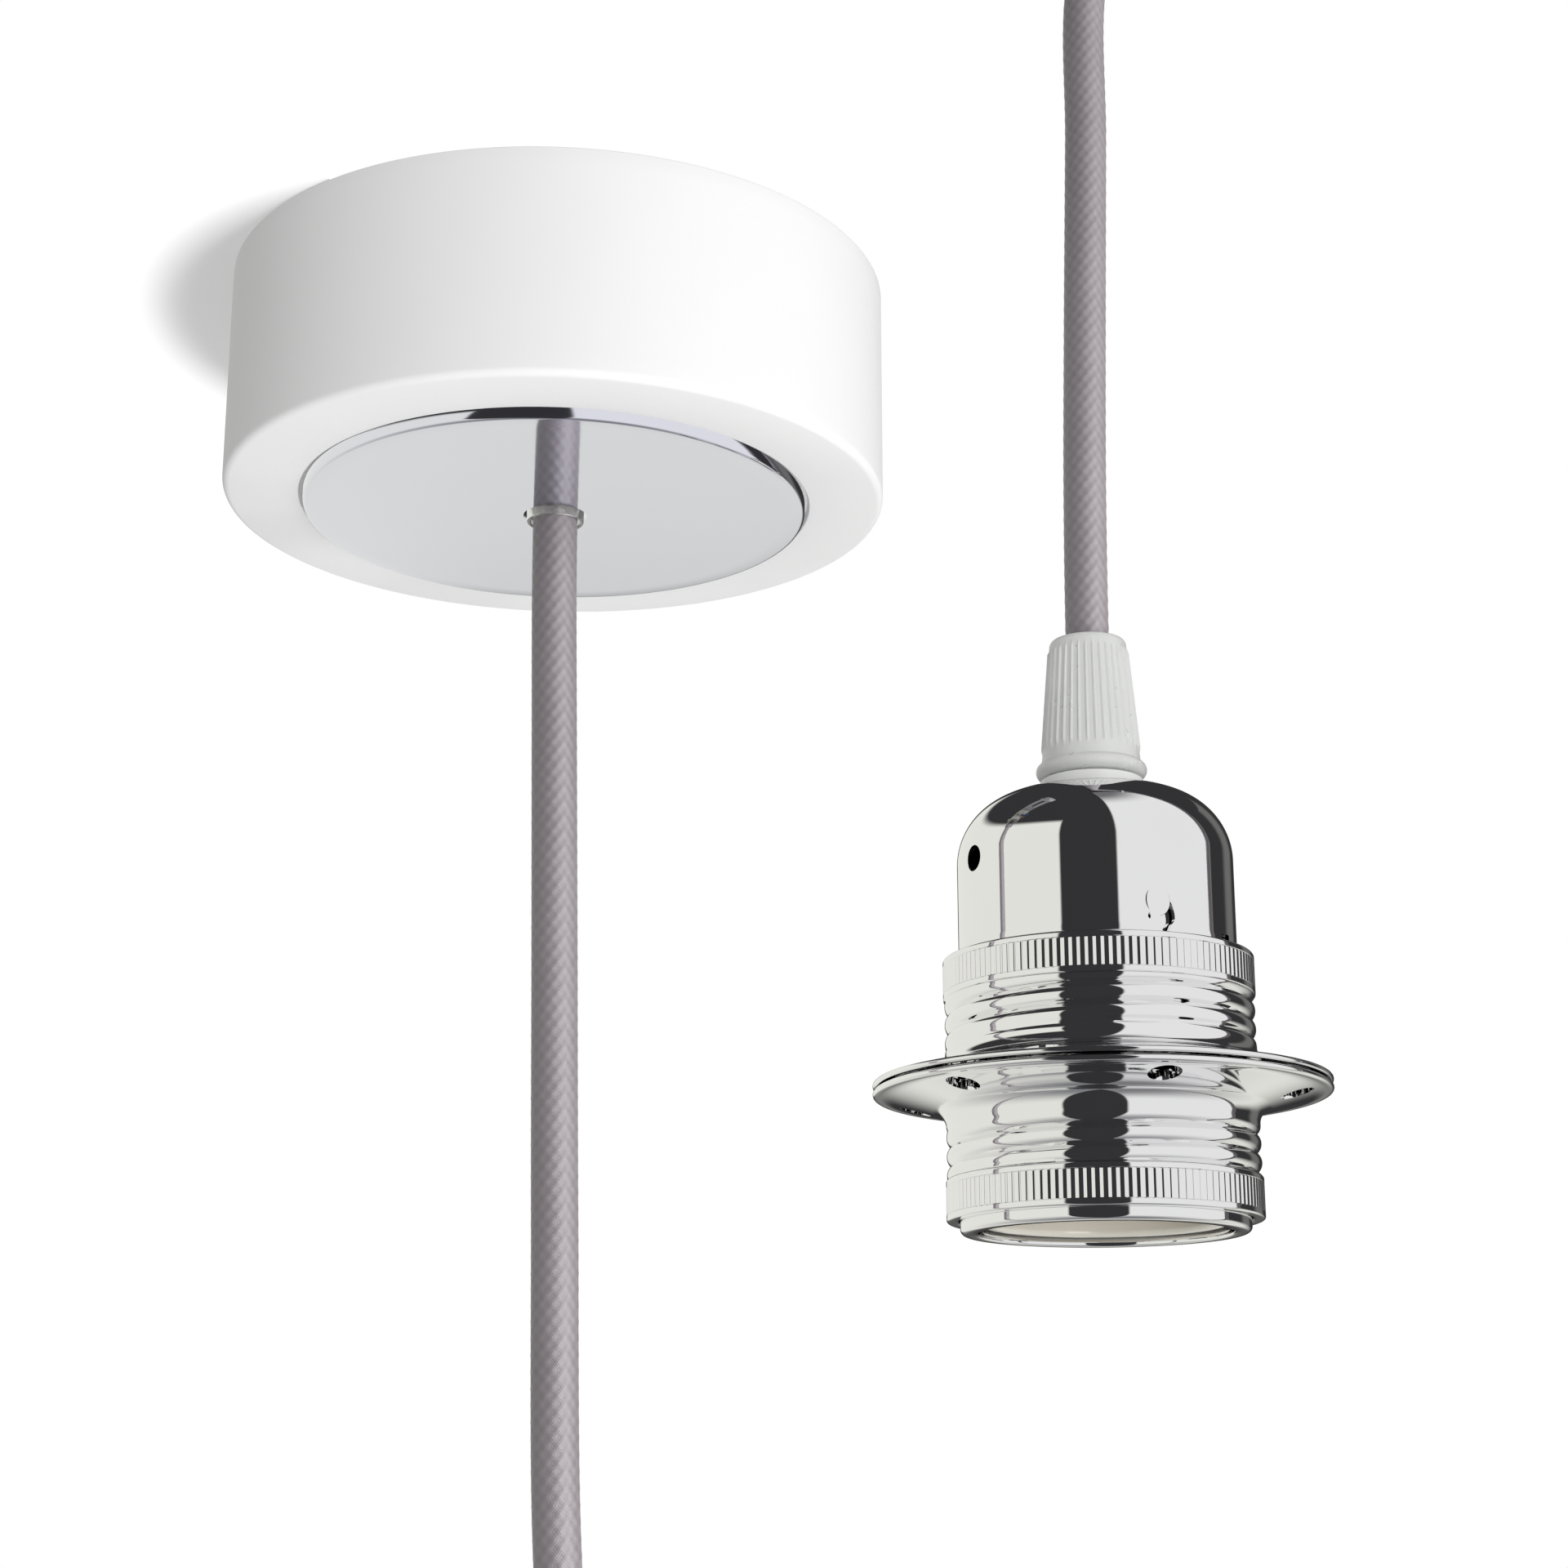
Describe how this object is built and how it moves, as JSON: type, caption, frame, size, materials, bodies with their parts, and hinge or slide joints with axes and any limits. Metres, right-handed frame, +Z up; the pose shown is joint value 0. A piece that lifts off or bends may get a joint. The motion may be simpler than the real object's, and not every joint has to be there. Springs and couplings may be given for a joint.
{
  "type": "pendant cord set",
  "caption": "Pendant cord set: white ceiling rose with a polished disc, textile cord on a support hook, clear cord grip, and a chrome screw lamp holder with two flanged shade rings.",
  "frame": {"origin": "centre of the ceiling bracket's flat top face, which is the ceiling plane of the rose and lies on the rose's axis", "axes": "+Z points up into the ceiling along the rose's axis, +X points from the rose towards the lamp holder's side, and +Y points away from the viewer"},
  "size_m": [0.1993, 0.088, 0.3841],
  "materials": {
    "white_paint": "matt white powder coat",
    "polished_disc": "polished",
    "chrome": "bright chrome plate",
    "clear_plastic": "frosted clear",
    "nylon": "moulded",
    "steel": "zinc plated",
    "brass": "plain",
    "porcelain": "glazed",
    "textile": "braided",
    "brown_wire": "smooth",
    "blue_wire": "smooth",
    "green_wire": "smooth"
  },
  "bodies": {
    "root": {"rose_housing": "white_paint", "rose_cover_disc": "polished_disc", "cord_bush": "clear_plastic", "cord_clamp": "nylon", "clamp_screw": "steel", "ceiling_bracket": "steel", "grub_screw_left": "steel", "grub_screw_right": "steel", "terminal_block": "nylon", "terminal_screw_1": "brass", "terminal_screw_2": "brass", "terminal_screw_3": "brass", "terminal_screw_4": "brass", "block_screw": "steel", "earth_screw": "brass", "rose_wire_live": "brown_wire", "rose_wire_neutral": "blue_wire", "rose_wire_earth": "green_wire", "cord": "textile", "support_hook": "steel", "shade_ring_upper": "chrome", "shade_ring_lower": "chrome", "threaded_skirt": "chrome", "holder_dome": "chrome", "socket_barrel": "porcelain", "screw_shell": "brass", "contact_block": "porcelain", "contact_screw_live": "brass", "contact_screw_neutral": "brass", "centre_contact": "brass", "side_contact": "brass", "holder_wire_live": "brown_wire", "holder_wire_neutral": "blue_wire", "holder_wire_earth": "green_wire", "earth_tag": "brass", "grip_cap": "clear_plastic", "grip_base": "clear_plastic", "grip_nut": "steel"}
  },
  "joints": []
}
